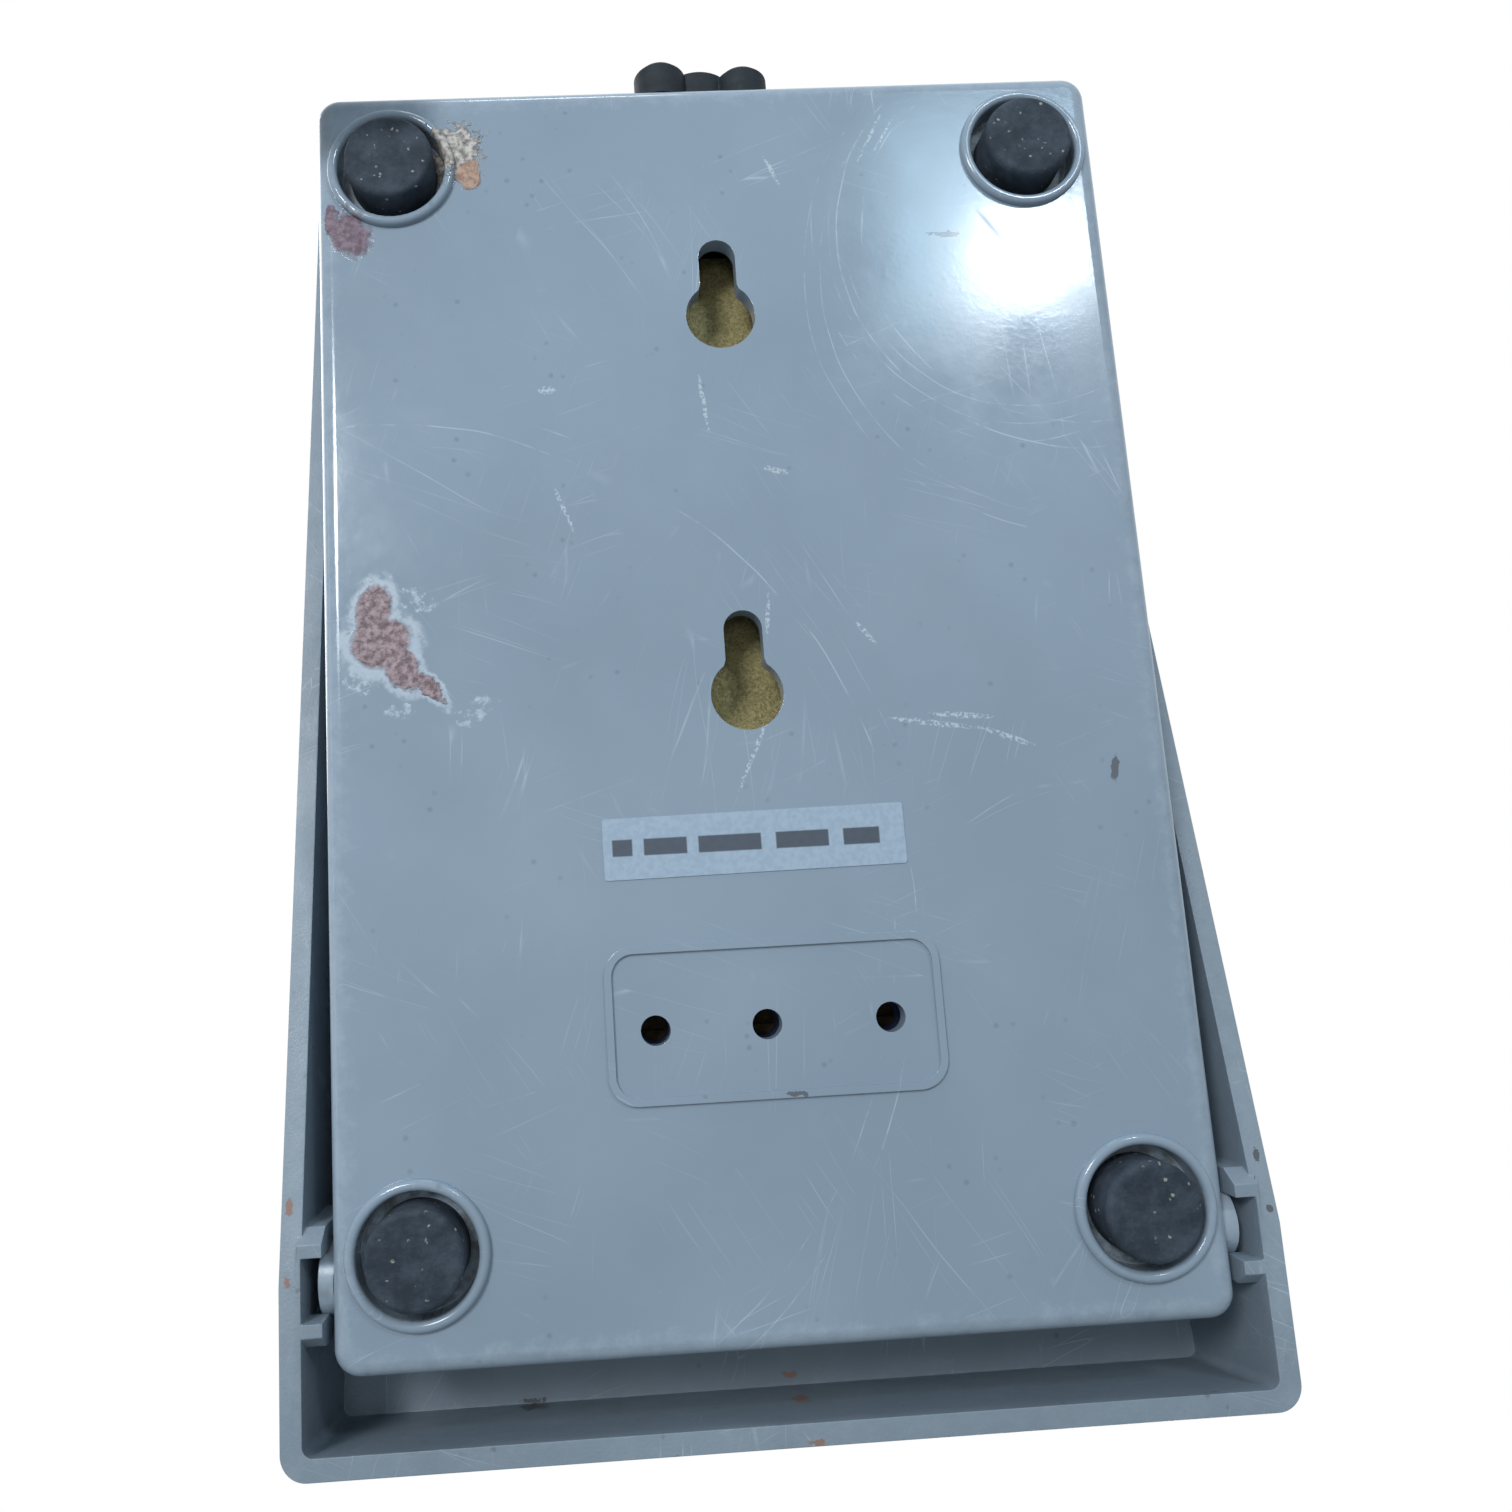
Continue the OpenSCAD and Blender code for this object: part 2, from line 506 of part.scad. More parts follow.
module treadle_shell() color([0.50, 0.57, 0.65]) difference() {
    union() {
        tilted() difference() {
            soft_block(-tread_half, heel_u, tread_half, toe_u, tread_h, tread_r, tread_r);
            translate([0, 0, -1]) linear_extrude(under_w + 1)
                round_rect(-tread_in, heel_u + tread_wall, tread_in, toe_u - tread_wall, 1.2);
            // gap for the gland
            translate([-arch_w / 2, toe_u - tread_wall - 1, -1]) cube([arch_w, tread_wall + 2, arch_h + 1]);
            // shallow bed for the mat
            translate([0, 0, tread_h - mat_sink]) linear_extrude(5)
                round_rect(-mat_size[0] / 2 - 0.2, mat_heel - 0.2, mat_size[0] / 2 + 0.2, mat_heel + mat_size[1] + 0.2, 6);
        }
        // pivot blocks on the side walls
        for (s = [-1, 1]) translate([s > 0 ? tread_in - block_t : -tread_in - 0.5, 0, 0])
            rotate([90, 0, 90]) linear_extrude(block_t + 0.5) polygon([
                [block_y[0], block_top], [block_y[0], block_bevel * 1.4], [block_y[0] + block_bevel, 0],
                [block_y[1] - block_bevel, 0], [block_y[1], block_bevel * 1.4], [block_y[1], block_top]]);
        // spring seats under the plate
        for (s = [-1, 1]) translate([s * spring_at[0], spring_at[1] - seat_shift, 0]) intersection() {
            union() {
                translate([0, 0, seat_z]) cylinder(d = spring_d + 3.4, h = 12);
                translate([0, 0, seat_z - 3]) cylinder(d = 4.8, h = 6);
            }
            translate([-20, -20, 0]) translate([0, -spring_at[1] + seat_shift + 20, 0]) tilted()
                translate([0, 0, -60]) cube([40, 200, under_w + 60.5]);
        }
    }
    // open C slots for the studs
    for (s = [-1, 1]) translate([s * tread_in, pivot_y, pivot_z]) rotate([0, -s * 90, 0]) translate([0, 0, 0])
        cylinder(d = pivot_d + 2 * run_gap, h = block_t + 1);
    for (s = [-1, 1]) translate([s > 0 ? tread_in - block_t - 1 : -tread_in, pivot_y - mouth_w / 2, -1])
        cube([block_t + 1, mouth_w, pivot_z + 1]);
    // the rim is level with the base's underside from the heel to the pivot
    translate([-100, -60, -60]) cube([200, 300, 60]);
}

module treadle_mat() color([0.15, 0.16, 0.18]) tilted() translate([0, 0, tread_h - mat_sink + 0.02]) difference() {
    linear_extrude(mat_t) round_rect(-mat_size[0] / 2, mat_heel, mat_size[0] / 2, mat_heel + mat_size[1], 6);
    for (y = [mat_heel + 6 : 5 : mat_heel + mat_size[1] - 6]) translate([-mat_size[0] / 2 + 5, y, mat_t - 0.9])
        cube([mat_size[0] - 10, 2.2, 2]);
}

module down_stop(s) color([0.13, 0.15, 0.18]) translate([s * buffer_at[0], buffer_at[1], base_h - 0.48]) {
    cylinder(d = buffer_d, h = buffer_top - base_h - 0.52);
    translate([0, 0, buffer_top - base_h - 0.52]) cylinder(d1 = buffer_d, d2 = buffer_d - 2, h = 1);
}

module rest_pad(s) color([0.13, 0.15, 0.18]) translate([s * (half_w - 16), rest_pad_y + 0.2, base_h - 0.58])
    linear_extrude(rest_pad_top - base_h + 0.58) square(rest_pad_size, center = true);

stand() base_tray();
stand() base_deck();
for (i = [0:3]) stand() foot(i);
stand() case_screws();
stand() serial_label();
stand() ballast_plate();
stand() ballast_screws();
stand() circuit_board();
stand() board_screws();
for (i = [0:2]) stand() trimmer(i);
for (i = [0:2]) stand() trimmer_screw(i);
stand() hall_sensor();
stand() amplifier_chip();
stand() capacitor();
stand() terminal_block();
stand() terminal_screws();
stand() gland_body();
stand() gland_nut();
stand() gland_seal();
stand() gland_locknut();
stand() pivot_stud(-1);  // pivot_stud_left
stand() pivot_stud(1);  // pivot_stud_right
stand() plunger();
stand() plunger_magnet();
stand() plunger_spring();
stand() return_spring(-1);  // return_spring_left
stand() return_spring(1);  // return_spring_right
stand() treadle_shell();
stand() treadle_mat();
stand() down_stop(-1);  // down_stop_left
stand() down_stop(1);  // down_stop_right
stand() rest_pad(-1);  // rest_pad_left
stand() rest_pad(1);  // rest_pad_right
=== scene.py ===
import bpy
import json
import math
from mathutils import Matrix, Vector


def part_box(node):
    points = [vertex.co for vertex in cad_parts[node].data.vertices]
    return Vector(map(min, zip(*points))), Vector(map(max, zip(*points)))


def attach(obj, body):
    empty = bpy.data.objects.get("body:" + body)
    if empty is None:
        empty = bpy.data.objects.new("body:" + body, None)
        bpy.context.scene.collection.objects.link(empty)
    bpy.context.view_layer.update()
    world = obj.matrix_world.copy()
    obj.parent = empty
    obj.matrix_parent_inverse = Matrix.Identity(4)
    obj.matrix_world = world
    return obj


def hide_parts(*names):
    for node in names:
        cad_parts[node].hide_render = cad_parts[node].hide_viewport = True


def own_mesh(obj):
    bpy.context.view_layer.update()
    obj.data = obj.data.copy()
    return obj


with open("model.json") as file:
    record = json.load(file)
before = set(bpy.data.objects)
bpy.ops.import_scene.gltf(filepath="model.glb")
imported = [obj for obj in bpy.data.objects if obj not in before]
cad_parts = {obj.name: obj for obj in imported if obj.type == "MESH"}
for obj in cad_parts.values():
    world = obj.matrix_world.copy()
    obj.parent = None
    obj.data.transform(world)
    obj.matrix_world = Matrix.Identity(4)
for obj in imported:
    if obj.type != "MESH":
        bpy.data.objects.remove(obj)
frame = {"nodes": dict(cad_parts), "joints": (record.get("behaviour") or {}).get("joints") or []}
bpy.ops.object.select_all(action="DESELECT")
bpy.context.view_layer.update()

# ---- Camera ----
# It looks up at the underside from below the floor, with the toe end at the top of the picture.
foot_reach = 0.003
tray_low, tray_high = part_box("base_tray")
heel_y = tray_low[1]
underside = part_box("foot_toe_left")[0][2] + foot_reach
camera_data = bpy.data.cameras.new("camera")
camera_data.sensor_width = 36
camera_data.lens = 27
camera_data.shift_x = 0.0759
camera_data.clip_start = 0.01
camera = bpy.data.objects.new("camera", camera_data)
camera.location = (0.01845, heel_y + 0.0483, underside - 0.1365)
camera.rotation_euler = [math.radians(a) for a in (-171.24, 1.59, -176.83)]
bpy.context.collection.objects.link(camera)
bpy.context.scene.camera = camera
bpy.context.scene.view_settings.view_transform = "Standard"


# ---- Floor and light ----
# A pale floor under the feet. It shows only to a camera above it, so that the underside can be seen from below,
# and it takes the shadow of the pedal without throwing any light back at it.
bpy.ops.mesh.primitive_grid_add(x_subdivisions=2, y_subdivisions=2, size=6, location=(0, 0, -0.0002))
floor = bpy.context.object
floor.name = "floor"
floor_paint = bpy.data.materials.new("floor_paint")
floor_paint.use_nodes = True
tree = floor_paint.node_tree
tree.nodes.clear()
paint = tree.nodes.new("ShaderNodeBsdfDiffuse")
paint.inputs["Color"].default_value = (0.62, 0.62, 0.61, 1)
clear = tree.nodes.new("ShaderNodeBsdfTransparent")
path = tree.nodes.new("ShaderNodeLightPath")
side = tree.nodes.new("ShaderNodeNewGeometry")
front = tree.nodes.new("ShaderNodeMath")
front.operation = "SUBTRACT"
front.use_clamp = True
mix = tree.nodes.new("ShaderNodeMixShader")
output = tree.nodes.new("ShaderNodeOutputMaterial")
tree.links.new(path.outputs["Is Camera Ray"], front.inputs[0])
tree.links.new(side.outputs["Backfacing"], front.inputs[1])
tree.links.new(front.outputs[0], mix.inputs[0])
tree.links.new(clear.outputs[0], mix.inputs[1])
tree.links.new(paint.outputs[0], mix.inputs[2])
tree.links.new(mix.outputs[0], output.inputs["Surface"])
floor.data.materials.append(floor_paint)

# The camera sees a white room. The pedal is lit by a softer sky, which is darker towards the heel and below.
world = bpy.data.worlds.new("room")
bpy.context.scene.world = world
world.use_nodes = True
tree = world.node_tree
tree.nodes.clear()
path = tree.nodes.new("ShaderNodeLightPath")
seen = tree.nodes.new("ShaderNodeBackground")
seen.inputs["Color"].default_value = (1, 1, 1, 1)
where = tree.nodes.new("ShaderNodeTexCoord")
split = tree.nodes.new("ShaderNodeSeparateXYZ")
fade = tree.nodes.new("ShaderNodeMapRange")
fade.inputs["From Min"].default_value = -0.9
fade.inputs["From Max"].default_value = 0.8
fade.inputs["To Min"].default_value = 0.24
fade.inputs["To Max"].default_value = 0.50
up = tree.nodes.new("ShaderNodeMapRange")
up.inputs["From Min"].default_value = 0.0
up.inputs["From Max"].default_value = 0.3
up.inputs["To Max"].default_value = 0.42
both = tree.nodes.new("ShaderNodeMath")
sky = tree.nodes.new("ShaderNodeBackground")
sky.inputs["Color"].default_value = (0.86, 0.94, 1.0, 1)
mix = tree.nodes.new("ShaderNodeMixShader")
output = tree.nodes.new("ShaderNodeOutputWorld")
tree.links.new(where.outputs["Generated"], split.inputs[0])
tree.links.new(split.outputs["Y"], fade.inputs["Value"])
tree.links.new(split.outputs["Z"], up.inputs["Value"])
tree.links.new(fade.outputs[0], both.inputs[0])
tree.links.new(up.outputs[0], both.inputs[1])
tree.links.new(both.outputs[0], sky.inputs["Strength"])
tree.links.new(path.outputs["Is Camera Ray"], mix.inputs[0])
tree.links.new(sky.outputs[0], mix.inputs[1])
tree.links.new(seen.outputs[0], mix.inputs[2])
tree.links.new(mix.outputs[0], output.inputs["Surface"])


def lamp(name, place, aim, size, power, color=(1, 1, 1)):
    """A soft area lamp that the camera doesn't see."""
    data = bpy.data.lights.new(name, "AREA")
    data.shape = "RECTANGLE"
    data.size, data.size_y = size
    data.energy = power
    data.color = color
    thing = bpy.data.objects.new(name, data)
    thing.location = place
    thing.rotation_euler = (Vector(aim) - Vector(place)).to_track_quat("-Z", "Y").to_euler()
    thing.visible_camera = False
    bpy.context.collection.objects.link(thing)
    return thing


daylight = (0.96, 0.98, 1)
lamp("window", (-0.2185, 0.308, -0.399), (-0.2185, 0.308, 0), (0.056, 0.046), 0.42)
lamp("window_glow", (-0.2035, 0.3295, -0.40), (-0.2035, 0.3295, 0), (0.112, 0.118), 0.42, (0.52, 0.80, 1))
lamp("under_key", (0.34, 0.30, -0.62), (0, 0, 0), (0.20, 0.20), 3.35, daylight)
lamp("side_strip", (0.55, 0.02, -0.05), (0.05, 0.02, 0), (0.5, 0.05), 0.12, daylight)
heel_fill = lamp("heel_fill", (0.06, 0.0, -0.45), (0.02, heel_y - 0.012, 0.01), (0.10, 0.10), 0.20, daylight)
heel_fill.visible_glossy = False
lamp("toe_glint", (0.02, 0.60, -0.10), (0.0, 0.08, 0), (0.12, 0.04), 0.25, daylight)
lamp("top_soft", (-0.35, -0.3, 0.7), (0, 0, 0), (0.6, 0.6), 4.5)
lamp("top_fill", (0.5, 0.35, 0.45), (0, 0, 0), (0.5, 0.5), 2.0)

# A small unseen card under the toe-left corner, which keeps some light off it.
base_half, toe_y = tray_high[0], tray_high[1]
bpy.ops.mesh.primitive_plane_add(size=1, location=(base_half, toe_y + 0.0025, underside - 0.012))
card = bpy.context.object
card.name = "shade_card"
card.scale = (0.019, 0.015, 1)
bpy.ops.object.transform_apply(location=False, rotation=False, scale=True)
card.visible_camera = False
card.visible_glossy = False
black = bpy.data.materials.new("card_black")
black.use_nodes = True
black.node_tree.nodes["Principled BSDF"].inputs["Base Color"].default_value = (0.02, 0.02, 0.02, 1)
card.data.materials.append(black)


# ---- Base tray ----
# The bottom half of the case, moulded in glossy blue-grey ABS. Years of sliding about have left it scratched,
# scuffed white in places and marked by spilt red-brown wax.
nodes = frame["nodes"]


def group(name, inputs, outputs):
    """An empty shader group with named number or vector sockets."""
    made = bpy.data.node_groups.new(name, "ShaderNodeTree")
    for way, sockets in (("INPUT", inputs), ("OUTPUT", outputs)):
        for socket, value in sockets:
            kind = "NodeSocketVector" if isinstance(value, tuple) else "NodeSocketFloat"
            item = made.interface.new_socket(socket, in_out=way, socket_type=kind)
            if way == "INPUT":
                item.default_value = value
    return made


class Wires:
    """Adds nodes to a tree and joins them, a line at a time."""

    def __init__(self, tree):
        self.tree = tree

    def add(self, kind, **settings):
        node = self.tree.nodes.new("ShaderNode" + kind)
        for name, value in settings.items():
            setattr(node, name, value)
        return node

    def join(self, out, into):
        self.tree.links.new(out, into)

    def feed(self, socket, value):
        if isinstance(value, bpy.types.NodeSocket):
            self.join(value, socket)
        else:
            socket.default_value = value

    def math(self, operation, a, b=0.0, clamp=False):
        node = self.add("Math", operation=operation, use_clamp=clamp)
        self.feed(node.inputs[0], a)
        self.feed(node.inputs[1], b)
        return node.outputs[0]

    def fit(self, value, low, high, to_low=0.0, to_high=1.0):
        node = self.add("MapRange", interpolation_type="SMOOTHSTEP")
        for socket, number in zip(("Value", "From Min", "From Max", "To Min", "To Max"),
                                  (value, low, high, to_low, to_high)):
            self.feed(node.inputs[socket], number)
        return node.outputs[0]

    def blend(self, share, a, b):
        node = self.add("Mix", data_type="RGBA")
        self.feed(node.inputs[0], share)
        self.feed(node.inputs[6], a)
        self.feed(node.inputs[7], b)
        return node.outputs[2]

    def place(self, at=(0, 0, 0), turn=(0, 0, 0), scale=(1, 1, 1), kind="POINT"):
        coords = self.add("TexCoord")
        mapping = self.add("Mapping", vector_type=kind)
        mapping.inputs["Location"].default_value = at
        mapping.inputs["Rotation"].default_value = turn
        mapping.inputs["Scale"].default_value = scale
        self.join(coords.outputs["Object"], mapping.inputs["Vector"])
        return mapping.outputs[0]

    def noise(self, vector, scale, detail=2.0, roughness=0.5):
        node = self.add("TexNoise")
        self.join(vector, node.inputs["Vector"])
        for socket, value in zip(("Scale", "Detail", "Roughness"), (scale, detail, roughness)):
            node.inputs[socket].default_value = value
        return node.outputs["Fac"]


# Fine hairline scratches in several directions: long thin cells, kept only where a broad noise allows them.
hairlines = group("hairlines", [("Amount", 0.5)], [("Mask", 0.0)])
w = Wires(hairlines)
g_in, g_out = hairlines.nodes.new("NodeGroupInput"), hairlines.nodes.new("NodeGroupOutput")
total = 0.0
for turn, length, scale in ((0.35, 26, 300), (1.25, 20, 240), (-0.55, 24, 270), (-1.2, 18, 330), (0.02, 30, 200)):
    bent = w.place(turn=(0, 0, turn), scale=(1, length, 1), kind="TEXTURE")
    waver = w.add("VectorMath", operation="MULTIPLY_ADD")
    drift = w.add("TexNoise")
    drift.inputs["Scale"].default_value = 22
    w.join(w.place(), drift.inputs["Vector"])
    w.join(drift.outputs["Color"], waver.inputs[0])
    waver.inputs[1].default_value = (0.006, 0, 0)
    w.join(bent, waver.inputs[2])
    cells = w.add("TexVoronoi", feature="DISTANCE_TO_EDGE")
    cells.inputs["Scale"].default_value = scale
    w.join(waver.outputs[0], cells.inputs["Vector"])
    line = w.fit(cells.outputs["Distance"], 0.0, 0.010, 1.0, 0.0)
    keep = w.fit(w.noise(w.place(at=(turn, 0, 0)), 60 + 9 * turn, 3, 0.6), 0.55, 0.70)
    total = w.math("MAXIMUM", w.math("MULTIPLY", line, keep), total)
w.feed(g_out.inputs["Mask"], w.math("MULTIPLY", total, g_in.outputs["Amount"]))

# Worn edges of a box-shaped moulding: how near a point is to the box's edges, made ragged by noise.
edge_wear = group("edge_wear", [("Centre", (0, 0, 0)), ("Half", (1, 1, 1)), ("Tilt", (0, 0, 0)), ("Reach", 0.002)],
                  [("Mask", 0.0)])
w = Wires(edge_wear)
g_in, g_out = edge_wear.nodes.new("NodeGroupInput"), edge_wear.nodes.new("NodeGroupOutput")
coords = w.add("TexCoord")
turned = w.add("Mapping", vector_type="TEXTURE")
w.join(coords.outputs["Object"], turned.inputs["Vector"])
w.join(g_in.outputs["Centre"], turned.inputs["Location"])
w.join(g_in.outputs["Tilt"], turned.inputs["Rotation"])
upright = w.add("VectorMath", operation="ABSOLUTE")
w.join(turned.outputs[0], upright.inputs[0])
depth = w.add("VectorMath", operation="SUBTRACT")
w.join(upright.outputs[0], depth.inputs[0])
w.join(g_in.outputs["Half"], depth.inputs[1])
three = w.add("SeparateXYZ")
w.join(depth.outputs[0], three.inputs[0])
x, y, z = three.outputs
middle = w.math("MAXIMUM", w.math("MINIMUM", x, y), w.math("MINIMUM", w.math("MAXIMUM", x, y), z))
ragged = w.math("MULTIPLY", w.math("SUBTRACT", w.noise(w.place(), 330, 5, 0.75), 0.5), 0.009)
near = w.math("ADD", w.math("DIVIDE", w.math("ADD", middle, ragged), g_in.outputs["Reach"]), 1.0)
w.feed(g_out.inputs["Mask"], w.fit(near, 0.0, 1.0))

# Grime: soft dull patches with small dark specks.
grime = group("grime", [("Amount", 0.5), ("Specks", 0.5)], [("Patches", 0.0), ("Dots", 0.0)])
w = Wires(grime)
g_in, g_out = grime.nodes.new("NodeGroupInput"), grime.nodes.new("NodeGroupOutput")
patches = w.fit(w.noise(w.place(), 38, 6, 0.62), 0.42, 0.72)
w.feed(g_out.inputs["Patches"], w.math("MULTIPLY", patches, g_in.outputs["Amount"]))
dots = w.add("TexVoronoi")
dots.inputs["Scale"].default_value = 420
w.join(w.place(), dots.inputs["Vector"])
rare = w.fit(w.noise(w.place(at=(3, 1, 0)), 120, 2), 0.56, 0.62)
spot = w.math("MULTIPLY", w.fit(dots.outputs["Distance"], 0.06, 0.2, 1.0, 0.0), rare)
w.feed(g_out.inputs["Dots"], w.math("MULTIPLY", spot, g_in.outputs["Specks"]))


def material(name, roughness, metallic=0.0, specular=0.5):
    """A new material with its shader, and the wires to build on it."""
    made = bpy.data.materials.new(name)
    made.use_nodes = True
    shader = made.node_tree.nodes["Principled BSDF"]
    shader.inputs["Roughness"].default_value = roughness
    shader.inputs["Metallic"].default_value = metallic
    shader.inputs["Specular IOR Level"].default_value = specular
    return made, shader, Wires(made.node_tree)


def use(w, made, **values):
    """Puts a shader group into a material, with its numbers set."""
    node = w.add("Group", node_tree=made)
    for name, value in values.items():
        node.inputs[name].default_value = value
    return node


def bump(w, shader, height, distance):
    """Raises the surface by height, up to distance in metres."""
    node = w.add("Bump")
    node.inputs["Distance"].default_value = distance
    node.inputs["Strength"].default_value = 1.0
    w.join(height, node.inputs["Height"])
    w.join(node.outputs[0], shader.inputs["Normal"])


def dress(node, made):
    """Gives a CAD node's own mesh a material."""
    for slot in nodes[node].material_slots:
        slot.material = made


def smooth_copy(node, name, body, made, ease=0.0):
    """A merged copy of a CAD node's mesh, smooth over its round edges, in place of the node.
    ease is the width by which a moulding's sharp edges are rounded, in metres."""
    mesh = nodes[node].data.copy()
    piece = bpy.data.objects.new(name, mesh)
    bpy.context.collection.objects.link(piece)
    mesh.materials.clear()
    mesh.materials.append(made)
    bpy.ops.object.select_all(action="DESELECT")
    piece.select_set(True)
    bpy.context.view_layer.objects.active = piece
    bpy.ops.object.mode_set(mode="EDIT")
    bpy.ops.mesh.select_all(action="SELECT")
    bpy.ops.mesh.customdata_custom_splitnormals_clear()
    bpy.ops.mesh.remove_doubles(threshold=0.000004)
    if ease:
        bpy.ops.mesh.dissolve_limited(angle_limit=math.radians(0.6))
    bpy.ops.object.mode_set(mode="OBJECT")
    if ease:
        rounded = piece.modifiers.new("rounded", "BEVEL")
        rounded.width, rounded.segments = ease, 2
        rounded.limit_method, rounded.angle_limit = "ANGLE", math.radians(40)
        rounded.use_clamp_overlap = True
        bpy.ops.object.modifier_apply(modifier=rounded.name)
    bpy.ops.object.shade_smooth_by_angle(angle=math.radians(32))
    weighted = piece.modifiers.new("weighted", "WEIGHTED_NORMAL")
    weighted.keep_sharp = True
    bpy.ops.object.modifier_apply(modifier=weighted.name)
    piece.select_set(False)
    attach(piece, body)
    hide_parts(node)
    return piece


def spread(w, spots, ragged, fray):
    """How far a point is out of a group of ovals: 0 in a middle, 1 on an edge. Each spot is x, y, half sizes, turn.
    ragged is how far the edge strays, in metres, and fray is the noise that it follows."""
    rough = w.math("MULTIPLY", w.math("SUBTRACT", fray, 0.5), 4.0)
    near, any_height = 9.0, 1000
    for x, y, half_x, half_y, turn in spots:
        turned = w.place(at=(x, y, 0), turn=(0, 0, turn), scale=(half_x, half_y, any_height), kind="TEXTURE")
        length = w.add("VectorMath", operation="LENGTH")
        w.join(turned, length.inputs[0])
        away = w.math("ADD", length.outputs["Value"], w.math("MULTIPLY", rough, ragged / min(half_x, half_y)))
        near = w.math("MINIMUM", near, away)
    return near


def stain(w, spots, ragged, fray, soft=0.2):
    """A ragged patch over a group of ovals, 1 inside and 0 outside."""
    return w.fit(spread(w, spots, ragged, fray), 1.0 - soft, 1.0 + soft / 4, 1.0, 0.0)


abs_dark, abs_pale = (0.228, 0.296, 0.366, 1), (0.258, 0.332, 0.408, 1)
scratch_white = (0.55, 0.63, 0.70, 1)
rubbed_white = (0.50, 0.58, 0.66, 1)
speck_brown = (0.05, 0.045, 0.04, 1)
tray_plastic, shader, w = material("tray_plastic", 0.27)
cloud = w.noise(w.place(), 24, 4, 0.55)
colour = w.blend(w.fit(cloud, 0.3, 0.7), abs_dark, abs_pale)
dirt = use(w, grime, Amount=0.5, Specks=0.22)
colour = w.blend(w.math("MULTIPLY", dirt.outputs["Patches"], 0.22), colour, (0.19, 0.235, 0.28, 1))
colour = w.blend(dirt.outputs["Dots"], colour, speck_brown)
lines = use(w, hairlines, Amount=0.75).outputs["Mask"]
colour = w.blend(w.math("MULTIPLY", lines, 0.38), colour, scratch_white)
# long arcs from turning on grit, three about the toe-right foot and a wide one about the left edge;
# each is a centre, its inner and outer radius, the lines in a metre and where its noise starts
arcs = 0.0
for x, y, low_r, high_r, count, seed in (
        (-0.0475, toe_y - 0.030, 0.0330, 0.0372, 480, 0.0),
        (-0.0460, toe_y - 0.024, 0.0240, 0.0330, 300, 2.0),
        (-0.0400, toe_y - 0.025, 0.0205, 0.0290, 420, 5.0),
        (0.045, toe_y - 0.110, 0.060, 0.066, 360, 8.0)):
    away = w.add("VectorMath", operation="LENGTH")
    w.join(w.place(at=(-x, -y, 0), scale=(1, 1, 0)), away.inputs[0])
    wavy = w.math("ADD", away.outputs["Value"], w.math("MULTIPLY", w.noise(w.place(at=(seed, 0, 0)), 26, 3), 0.0045))
    ring = w.math("ABSOLUTE", w.math("SUBTRACT", w.math("FRACT", w.math("MULTIPLY", wavy, count)), 0.5))
    band = w.math("MULTIPLY", w.fit(away.outputs["Value"], low_r, low_r + 0.001),
                  w.fit(away.outputs["Value"], high_r - 0.001, high_r, 1.0, 0.0))
    part = w.fit(w.noise(w.place(at=(0, seed, 0)), 60, 5, 0.75), 0.47, 0.60)
    drawn = w.math("MULTIPLY", w.fit(ring, 0.0, 0.045, 1.0, 0.0), band)
    arcs = w.math("MAXIMUM", arcs, w.math("MULTIPLY", drawn, part))
colour = w.blend(w.math("MULTIPLY", arcs, 0.48), colour, scratch_white)
# white scuffs, in thin broken streaks
fine, coarse = w.noise(w.place(), 1100, 4, 0.65), w.noise(w.place(), 520, 5, 0.65)
broken = w.fit(w.noise(w.place(), 2600, 3), 0.42, 0.6)
streaks = [(-0.0227, heel_y + 0.0714, 0.0058, 0.0004, 0.16), (-0.0317, heel_y + 0.0693, 0.0036, 0.0004, 0.37),
           (-0.0262, heel_y + 0.0722, 0.0040, 0.0004, 0.10), (-0.0005, heel_y + 0.0692, 0.0003, 0.0066, 0.44),
           (-0.0032, heel_y + 0.0860, 0.0003, 0.0030, 0.10), (0.0030, toe_y - 0.0455, 0.0003, 0.0040, -0.1),
           (-0.0080, toe_y - 0.0130, 0.0003, 0.0026, -0.4), (-0.0055, toe_y - 0.0550, 0.0020, 0.0004, 0.3),
           (0.0230, toe_y - 0.0430, 0.0012, 0.0006, 0.0), (0.0215, heel_y + 0.1010, 0.0030, 0.0003, 1.2),
           (-0.0155, heel_y + 0.0830, 0.0022, 0.0003, 0.9), (-0.0215, toe_y - 0.0090, 0.0002, 0.0040, 0.5),
           (-0.0235, toe_y - 0.0085, 0.0002, 0.0030, 0.55)]
scuff = w.math("MULTIPLY", stain(w, streaks, 0.00012, fine), broken)
colour = w.blend(w.math("MULTIPLY", scuff, 0.6), colour, (0.56, 0.64, 0.70, 1))
# short dark marks near the toe, and a smudge by the right edge
marks = [(-0.0305, toe_y - 0.0232, 0.0024, 0.0004, 0.0), (-0.0362, toe_y - 0.0246, 0.0020, 0.0005, 0.55),
         (-0.0446, heel_y + 0.0644, 0.0005, 0.0016, 0.2), (-0.0028, heel_y + 0.0283, 0.0014, 0.0003, 0.1)]
colour = w.blend(w.math("MULTIPLY", stain(w, marks, 0.0003, fine), 0.75), colour, (0.08, 0.08, 0.08, 1))
